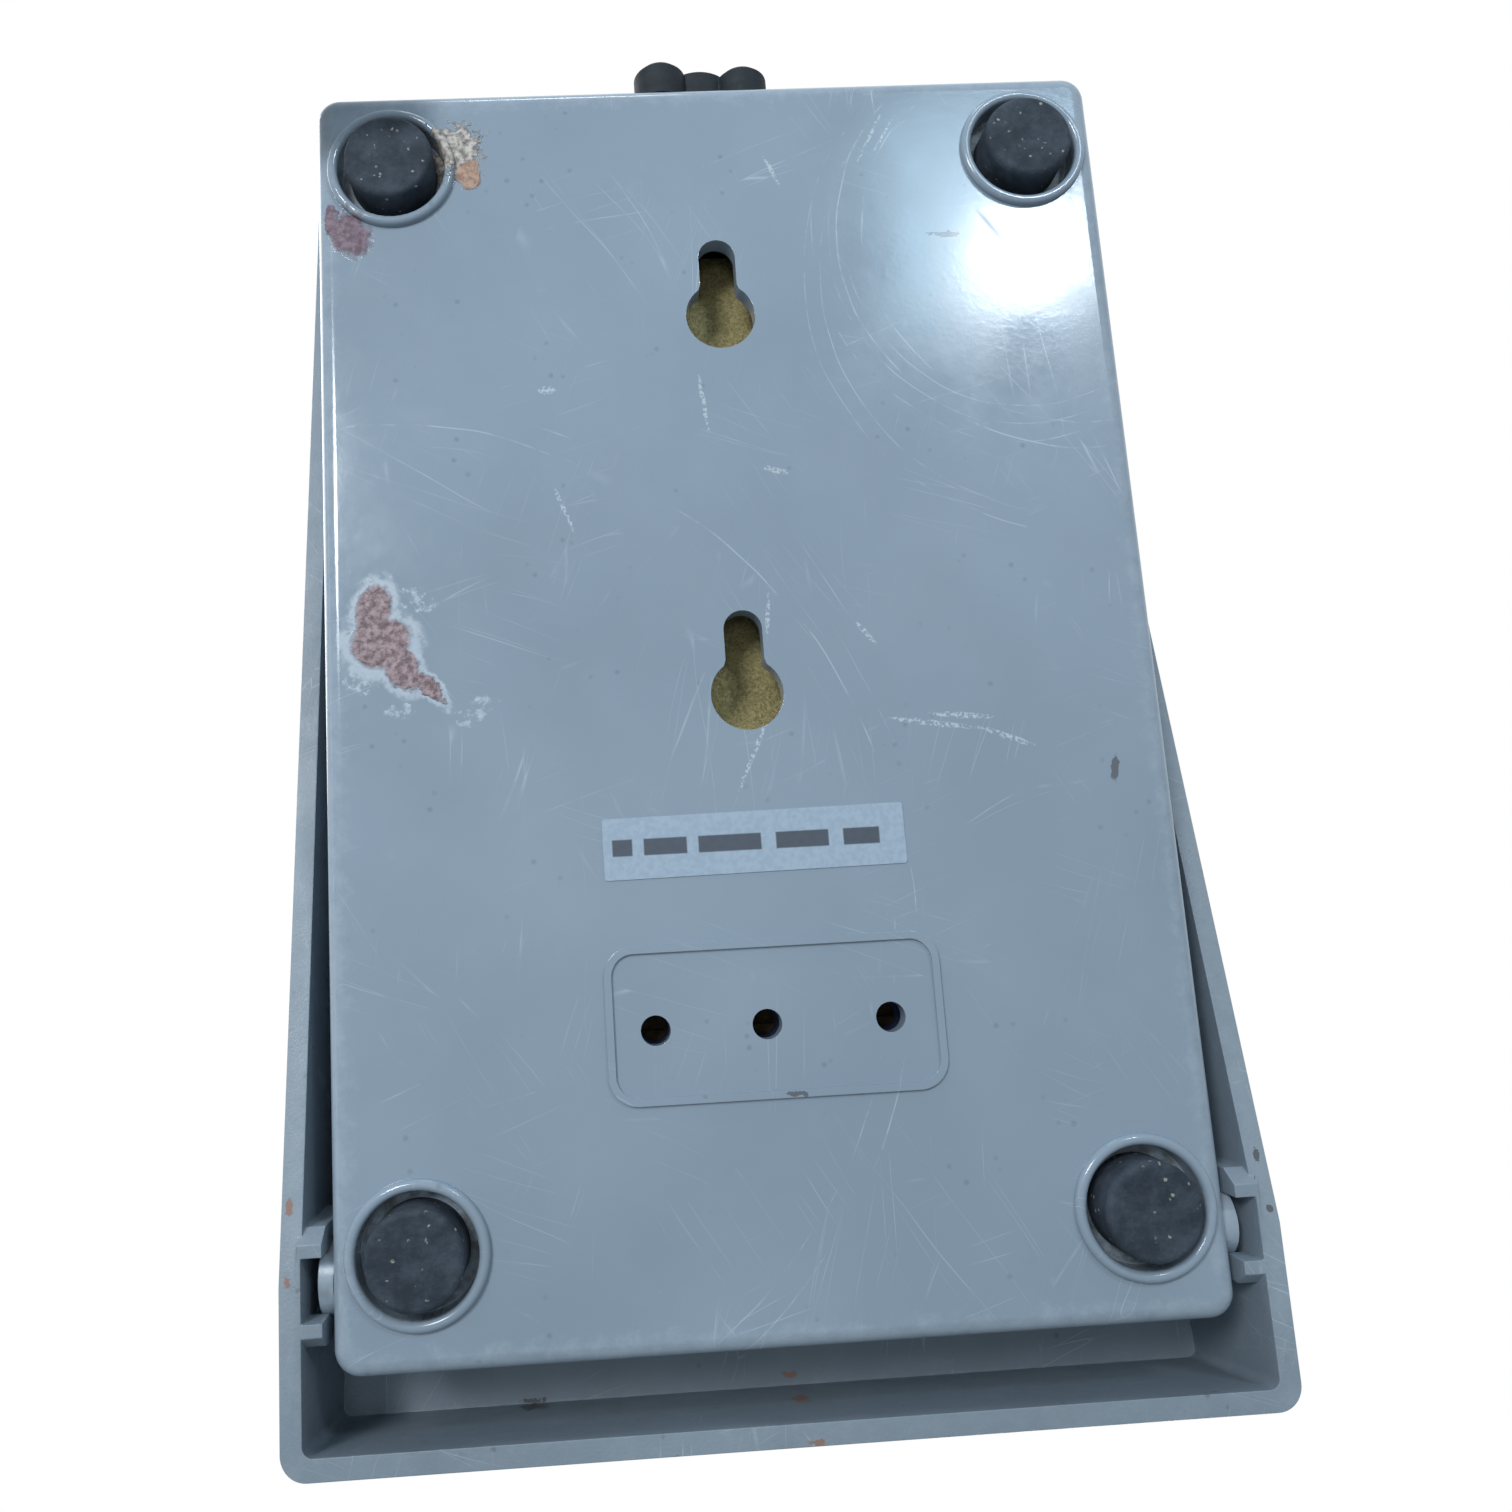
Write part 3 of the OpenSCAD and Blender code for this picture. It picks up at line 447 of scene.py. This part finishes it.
# dirt in and around the foot recesses
soiled = 0.0
for x in (-1, 1):
    for node in ("foot_heel_left", "foot_toe_left"):
        low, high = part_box(node)
        away = w.add("VectorMath", operation="LENGTH")
        foot_mid = (x * (low[0] + high[0]) / 2, -(low[1] + high[1]) / 2, 0)
        w.join(w.place(at=foot_mid, scale=(1, 1, 0)), away.inputs[0])
        soiled = w.math("MAXIMUM", soiled, w.fit(away.outputs["Value"], 0.0066, 0.0072, 1.0, 0.0))
soot = w.fit(w.noise(w.place(), 420, 5, 0.7), 0.30, 0.62)
colour = w.blend(w.math("MULTIPLY", w.math("MULTIPLY", soiled, soot), 0.85), colour, (0.075, 0.08, 0.075, 1))
deck_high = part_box("base_deck")[1]
case_mid = [(a + b) / 2 for a, b in zip(tray_low, deck_high)]
case_mid[2] = (underside + deck_high[2]) / 2
case_half = (base_half, (toe_y - heel_y) / 2, (deck_high[2] - underside) / 2)
worn = use(w, edge_wear, Centre=case_mid, Half=case_half, Reach=0.0035).outputs["Mask"]
colour = w.blend(w.math("MULTIPLY", worn, 0.22), colour, rubbed_white)
# wax by the left edge: a slanting red-brown streak with a thin white crust round it and flakes further out
wax = spread(w, [(0.0455, heel_y + 0.0885, 0.0024, 0.0040, 0.2), (0.0447, heel_y + 0.0848, 0.0039, 0.0036, 0.0),
                 (0.0424, heel_y + 0.0818, 0.0022, 0.0034, -0.5), (0.0388, heel_y + 0.0789, 0.0011, 0.0026, -0.7)],
             0.0005, coarse)
red = w.fit(wax, 0.78, 1.04, 1.0, 0.0)
crust = w.math("MULTIPLY", w.fit(wax, 1.10, 1.50, 1.0, 0.0), w.fit(w.noise(w.place(), 420, 5, 0.7), 0.30, 0.60))
flakes = stain(w, [(0.0405, heel_y + 0.0902, 0.0026, 0.0016, 0.3), (0.0470, heel_y + 0.0800, 0.0022, 0.0018, 0.0),
                   (0.0335, heel_y + 0.0757, 0.0030, 0.0014, -0.5), (0.0425, heel_y + 0.0762, 0.0020, 0.0010, 0.2)],
               0.0006, coarse)
flakes = w.math("MULTIPLY", flakes, w.fit(w.noise(w.place(), 900, 4, 0.7), 0.46, 0.66))
crust = w.math("MAXIMUM", crust, flakes)
toe_red = stain(w, [(0.0474, toe_y - 0.0205, 0.0026, 0.0034, -0.4), (0.0500, toe_y - 0.0178, 0.0010, 0.0022, 0.0)],
                0.0008, coarse, 0.3)
tan_fuzz = stain(w, [(0.0338, toe_y - 0.0088, 0.0036, 0.0036, 0.0), (0.0366, toe_y - 0.0118, 0.0016, 0.0030, 0.5)],
                 0.0024, fine, 0.25)
orange = stain(w, [(0.0318, toe_y - 0.0125, 0.0018, 0.0020, 0.0)], 0.0007, coarse)
mottled = w.fit(w.noise(w.place(), 1000, 4, 0.7), 0.38, 0.62)
for share, amount, dark, pale in ((crust, 0.55, (0.46, 0.55, 0.64, 1), (0.52, 0.60, 0.68, 1)),
                                  (red, 0.92, (0.115, 0.058, 0.064, 1), (0.33, 0.235, 0.255, 1)),
                                  (toe_red, 0.85, (0.085, 0.030, 0.045, 1), (0.20, 0.12, 0.16, 1)),
                                  (tan_fuzz, 0.90, (0.17, 0.14, 0.125, 1), (0.55, 0.52, 0.47, 1)),
                                  (orange, 0.90, (0.24, 0.12, 0.07, 1), (0.42, 0.27, 0.19, 1))):
    colour = w.blend(w.math("MULTIPLY", share, amount), colour, w.blend(mottled, dark, pale))
w.join(colour, shader.inputs["Base Color"])
spills = w.math("MAXIMUM", w.math("MAXIMUM", red, toe_red), w.math("MAXIMUM", tan_fuzz, orange))
rough = w.fit(w.noise(w.place(), 90, 5, 0.7), 0.3, 0.7, 0.09, 0.19)
rough = w.math("ADD", rough, w.math("MULTIPLY", lines, 0.25))
dull = w.math("MAXIMUM", w.math("MAXIMUM", crust, spills), soiled)
rough = w.math("ADD", rough, w.math("MULTIPLY", dull, 0.4), clamp=True)
w.join(rough, shader.inputs["Roughness"])
height = w.math("MULTIPLY", w.noise(w.place(), 1500, 3), 0.06)
lumps = w.math("MULTIPLY", spills, w.noise(w.place(), 800, 4))
height = w.math("ADD", height, w.math("MULTIPLY", lumps, 2.5))
bump(w, shader, height, 0.00012)
smooth_copy("base_tray", "tray", "base", tray_plastic, ease=0.0002)

# ---- Base deck ----
# The upper half of the case, in the same plastic, with the guide for the plunger and the wells for the springs.
case_plastic, shader, w = material("case_plastic", 0.33)
cloud = w.noise(w.place(), 24, 4, 0.55)
colour = w.blend(w.fit(cloud, 0.3, 0.7), abs_dark, abs_pale)
dirt = use(w, grime, Amount=0.8, Specks=0.9)
colour = w.blend(w.math("MULTIPLY", dirt.outputs["Patches"], 0.4), colour, (0.16, 0.19, 0.22, 1))
colour = w.blend(dirt.outputs["Dots"], colour, speck_brown)
worn = use(w, edge_wear, Centre=case_mid, Half=case_half, Reach=0.004).outputs["Mask"]
colour = w.blend(w.math("MULTIPLY", worn, 0.25), colour, rubbed_white)
w.join(colour, shader.inputs["Base Color"])
rough = w.fit(w.noise(w.place(), 90, 5, 0.7), 0.3, 0.7, 0.28, 0.45)
w.join(rough, shader.inputs["Roughness"])
bump(w, shader, w.noise(w.place(), 2200, 3), 0.00003)
smooth_copy("base_deck", "deck", "base", case_plastic, ease=0.0002)

# ---- Treadle shell ----
# The lid that the foot presses. Its outside has a fine moulded grain, its inside is rough and dirty,
# and its rim is chipped and rubbed where it meets the floor.
shell_plastic, shader, w = material("shell_plastic", 0.38)
cloud = w.noise(w.place(), 20, 5, 0.6)
colour = w.blend(w.fit(cloud, 0.3, 0.7), (0.196, 0.250, 0.303, 1), (0.230, 0.293, 0.352, 1))
dirt = use(w, grime, Amount=0.6, Specks=0.4)
colour = w.blend(w.math("MULTIPLY", dirt.outputs["Patches"], 0.4), colour, (0.15, 0.17, 0.19, 1))
colour = w.blend(dirt.outputs["Dots"], colour, (0.06, 0.035, 0.025, 1))
lines = use(w, hairlines, Amount=1.0).outputs["Mask"]
colour = w.blend(w.math("MULTIPLY", lines, 0.5), colour, (0.50, 0.56, 0.62, 1))
tilt = math.radians(9.7)
hinge = next(j for j in frame["joints"] if j["name"] == "treadle_hinge")["pos_m"]
shell_length, shell_depth = 0.1787, 0.0254
ahead, above = 0.06865, 0.0067  # from the hinge to the shell's middle, along and across its slope
shell_mid = (0, hinge[1] + ahead * math.cos(tilt) - above * math.sin(tilt),
             hinge[2] + ahead * math.sin(tilt) + above * math.cos(tilt))
shell_half = (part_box("treadle_shell")[1][0], shell_length / 2, shell_depth / 2)
worn = use(w, edge_wear, Centre=shell_mid, Half=shell_half, Tilt=(tilt, 0, 0), Reach=0.004).outputs["Mask"]
colour = w.blend(w.math("MULTIPLY", worn, 0.12), colour, (0.50, 0.57, 0.64, 1))
# rust-coloured and dark spots on the rim
fine = w.noise(w.place(), 1100, 4, 0.65)
rust_spots = [(0.0568, heel_y + 0.0190, 0.0004, 0.0011, 0), (0.0568, heel_y + 0.0110, 0.0003, 0.0006, 0),
              (-0.0020, heel_y - 0.0095, 0.0010, 0.0004, 0)]
dark_spots = [(-0.0566, heel_y + 0.0180, 0.0004, 0.0008, 0), (-0.0568, heel_y + 0.0120, 0.0004, 0.0004, 0),
              (0.0310, heel_y - 0.0105, 0.0016, 0.0003, 0)]
for tint, spots in (((0.28, 0.13, 0.07, 1), rust_spots), ((0.06, 0.05, 0.05, 1), dark_spots)):
    colour = w.blend(w.math("MULTIPLY", stain(w, spots, 0.0003, fine), 0.75), colour, tint)
w.join(colour, shader.inputs["Base Color"])
rough = w.fit(w.noise(w.place(), 120, 5, 0.7), 0.3, 0.7, 0.33, 0.55)
w.join(rough, shader.inputs["Roughness"])
bump(w, shader, w.noise(w.place(), 2600, 4, 0.7), 0.00006)
smooth_copy("treadle_shell", "shell", "treadle", shell_plastic, ease=0.0003)

# ---- Pivot studs ----
# Domed studs of paler plastic, polished by the treadle's slots.
stud_plastic, shader, w = material("stud_plastic", 0.3)
colour = w.blend(w.fit(w.noise(w.place(), 300, 4), 0.4, 0.7), (0.30, 0.37, 0.44, 1), (0.22, 0.26, 0.30, 1))
w.join(colour, shader.inputs["Base Color"])
bump(w, shader, w.noise(w.place(), 1200, 3), 0.00003)
for way in ("left", "right"):
    smooth_copy(f"pivot_stud_{way}", f"stud_{way}", "base", stud_plastic)

# ---- Rubber feet, stops and rest pads ----
# Moulded black-blue rubber. Dust and lint stick to it as pale specks.
rubber, shader, w = material("rubber", 0.75, specular=0.35)
colour = w.blend(w.fit(w.noise(w.place(), 260, 5, 0.7), 0.35, 0.7),
                 (0.020, 0.030, 0.043, 1), (0.050, 0.068, 0.092, 1))
lint = w.add("TexVoronoi")
lint.inputs["Scale"].default_value = 900
w.join(w.place(), lint.inputs["Vector"])
kept = w.fit(w.noise(w.place(), 700, 2), 0.55, 0.62)
specks = w.math("MULTIPLY", w.fit(lint.outputs["Distance"], 0.12, 0.28, 1.0, 0.0), kept)
colour = w.blend(w.math("MULTIPLY", specks, 0.7), colour, (0.42, 0.42, 0.38, 1))
w.join(colour, shader.inputs["Base Color"])
height = w.math("ADD", w.noise(w.place(), 1300, 5, 0.75), w.math("MULTIPLY", specks, 0.6))
bump(w, shader, height, 0.00018)
for place in ("heel_left", "heel_right", "toe_left", "toe_right"):
    smooth_copy(f"foot_{place}", f"rubber_foot_{place}", "base", rubber)
for node in ("down_stop_left", "down_stop_right", "rest_pad_left", "rest_pad_right", "gland_seal"):
    dress(node, rubber)

# ---- Tread mat ----
# A ribbed rubber mat in a shallow bed on the treadle, worn grey along its ribs.
mat_rubber, shader, w = material("mat_rubber", 0.7, specular=0.35)
colour = w.blend(w.fit(w.noise(w.place(), 60, 5, 0.7), 0.35, 0.7), (0.018, 0.021, 0.026, 1), (0.04, 0.045, 0.052, 1))
scuffed = w.fit(w.noise(w.place(scale=(1, 0.4, 1)), 130, 5, 0.7), 0.5, 0.75)
colour = w.blend(w.math("MULTIPLY", scuffed, 0.6), colour, (0.11, 0.115, 0.12, 1))
w.join(colour, shader.inputs["Base Color"])
bump(w, shader, w.noise(w.place(), 1800, 4, 0.7), 0.00008)
dress("treadle_mat", mat_rubber)

# ---- Serial label ----
# A strip of silver-white film with a line of plain printed bars in place of its lettering.
label_film, shader, w = material("label_film", 0.42)
film = w.blend(w.fit(w.noise(w.place(), 1500, 3), 0.35, 0.65), (0.295, 0.385, 0.485, 1), (0.335, 0.43, 0.535, 1))
low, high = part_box("serial_label")
label_mid = (low + high) / 2
parts = w.add("SeparateXYZ")
w.join(w.place(at=(-label_mid[0], -label_mid[1], 0)), parts.inputs[0])
ink = 0.0
for bar_x, bar_half in ((0.0160, 0.0012), (0.0108, 0.0026), (0.0030, 0.0038), (-0.0058, 0.0032), (-0.0130, 0.0022)):
    across = w.math("ABSOLUTE", w.math("SUBTRACT", parts.outputs["X"], bar_x))
    ink = w.math("MAXIMUM", ink, w.fit(across, bar_half - 0.0001, bar_half + 0.0001, 1.0, 0.0))
in_row = w.fit(w.math("ABSOLUTE", parts.outputs["Y"]), 0.0009, 0.0011, 1.0, 0.0)
ink = w.math("MULTIPLY", ink, in_row)
colour = w.blend(w.math("MULTIPLY", ink, 0.85), film, (0.03, 0.035, 0.05, 1))
w.join(colour, shader.inputs["Base Color"])
bump(w, shader, w.noise(w.place(), 400, 3), 0.00002)
dress("serial_label", label_film)

# ---- Ballast plate ----
# Yellow-passivated steel, seen through the keyholes as a mottled gold surface.
yellow_steel, shader, w = material("yellow_steel", 0.5, metallic=0.55)
speckle = w.fit(w.noise(w.place(), 2600, 4, 0.8), 0.35, 0.65)
colour = w.blend(speckle, (0.20, 0.17, 0.07, 1), (0.42, 0.37, 0.18, 1))
w.join(colour, shader.inputs["Base Color"])
bump(w, shader, w.noise(w.place(), 2600, 4, 0.8), 0.0001)
dress("ballast_plate", yellow_steel)

# ---- Cable gland ----
# Black nylon: a flanged body, a locknut inside the case, and a nut with three finger lobes.
nylon, shader, w = material("nylon", 0.6, specular=0.3)
colour = w.blend(w.fit(w.noise(w.place(), 300, 5, 0.7), 0.35, 0.7),
                 (0.008, 0.013, 0.018, 1), (0.014, 0.022, 0.030, 1))
scuffed = w.fit(w.noise(w.place(), 420, 5, 0.7), 0.5, 0.75)
colour = w.blend(w.math("MULTIPLY", scuffed, 0.4), colour, (0.035, 0.045, 0.055, 1))
w.join(colour, shader.inputs["Base Color"])
bump(w, shader, w.noise(w.place(), 2200, 4, 0.7), 0.00008)
smooth_copy("gland_nut", "lobed_nut", "gland_nut", nylon, ease=0.0005)
smooth_copy("gland_body", "gland_barrel", "base", nylon)
dress("gland_locknut", nylon)
for node in ("hall_sensor", "amplifier_chip"):
    dress(node, nylon)

# ---- Metal small parts ----
# Zinc-plated screws, drawn spring wire, brass trimmer screws and the nickel-plated magnet. The brass is darkened
# nearly to black as painted shade in the adjuster holes.
for name, colours, rough, users in (
        ("zinc_plate", ((0.42, 0.43, 0.45, 1), (0.62, 0.63, 0.66, 1)), 0.35,
         ("case_screws", "ballast_screws", "board_screws", "terminal_screws")),
        ("spring_wire", ((0.33, 0.33, 0.35, 1), (0.52, 0.52, 0.54, 1)), 0.3, ()),
        # brass darkened nearly to black: painted shade in the adjuster holes
        ("turned_brass_painted_shade", ((0.030, 0.022, 0.014, 1), (0.07, 0.05, 0.03, 1)), 0.6,
         ("trimmer_screw_left", "trimmer_screw_centre", "trimmer_screw_right")),
        ("nickel_plate", ((0.55, 0.54, 0.50, 1), (0.70, 0.69, 0.66, 1)), 0.2, ("plunger_magnet",))):
    metal, shader, w = material(name, rough, metallic=1.0)
    colour = w.blend(w.fit(w.noise(w.place(), 500, 5, 0.7), 0.35, 0.7), *colours)
    w.join(colour, shader.inputs["Base Color"])
    bump(w, shader, w.noise(w.place(scale=(1, 1, 6)), 1500, 3), 0.00003)
    for node in users:
        dress(node, metal)

# ---- Springs ----
# Two return springs stand in the deck's wells under the treadle, and a light one lifts the plunger.
spring_wire = bpy.data.materials["spring_wire"]
for node, keep in (("return_spring_left", 0.46), ("return_spring_right", 0.46), ("plunger_spring", 0.26)):
    low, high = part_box(node)
    spring = smooth_copy(node, node + "_coil", "base", spring_wire)
    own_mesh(spring)

# ---- Plunger ----
# White acetal, polished where it slides.
acetal, shader, w = material("acetal", 0.35)
colour = w.blend(w.fit(w.noise(w.place(), 200, 4), 0.4, 0.7), (0.72, 0.72, 0.68, 1), (0.60, 0.59, 0.54, 1))
w.join(colour, shader.inputs["Base Color"])
bump(w, shader, w.noise(w.place(), 1500, 3), 0.00002)
dress("plunger", acetal)

# ---- Circuit board and what is on it ----
# Green lacquered glass fibre with three blue trimmers, a capacitor and a green terminal block. The blue of the
# trimmers and the capacitor is darkened nearly to black as painted shade in the adjuster holes.
for name, colours, rough, users in (
        ("board_lacquer", ((0.015, 0.11, 0.05, 1), (0.02, 0.17, 0.08, 1)), 0.3, ("circuit_board",)),
        # trimmer blue darkened nearly to black: painted shade in the adjuster holes
        ("trimmer_blue_painted_shade", ((0.006, 0.014, 0.05, 1), (0.012, 0.024, 0.08, 1)), 0.5,
         ("trimmer_left", "trimmer_centre", "trimmer_right", "capacitor")),
        ("terminal_green", ((0.02, 0.20, 0.08, 1), (0.03, 0.28, 0.12, 1)), 0.4, ("terminal_block",))):
    made, shader, w = material(name, rough)
    colour = w.blend(w.fit(w.noise(w.place(), 400, 4), 0.4, 0.7), *colours)
    w.join(colour, shader.inputs["Base Color"])
    bump(w, shader, w.noise(w.place(), 1500, 3), 0.00003)
    for node in users:
        dress(node, made)
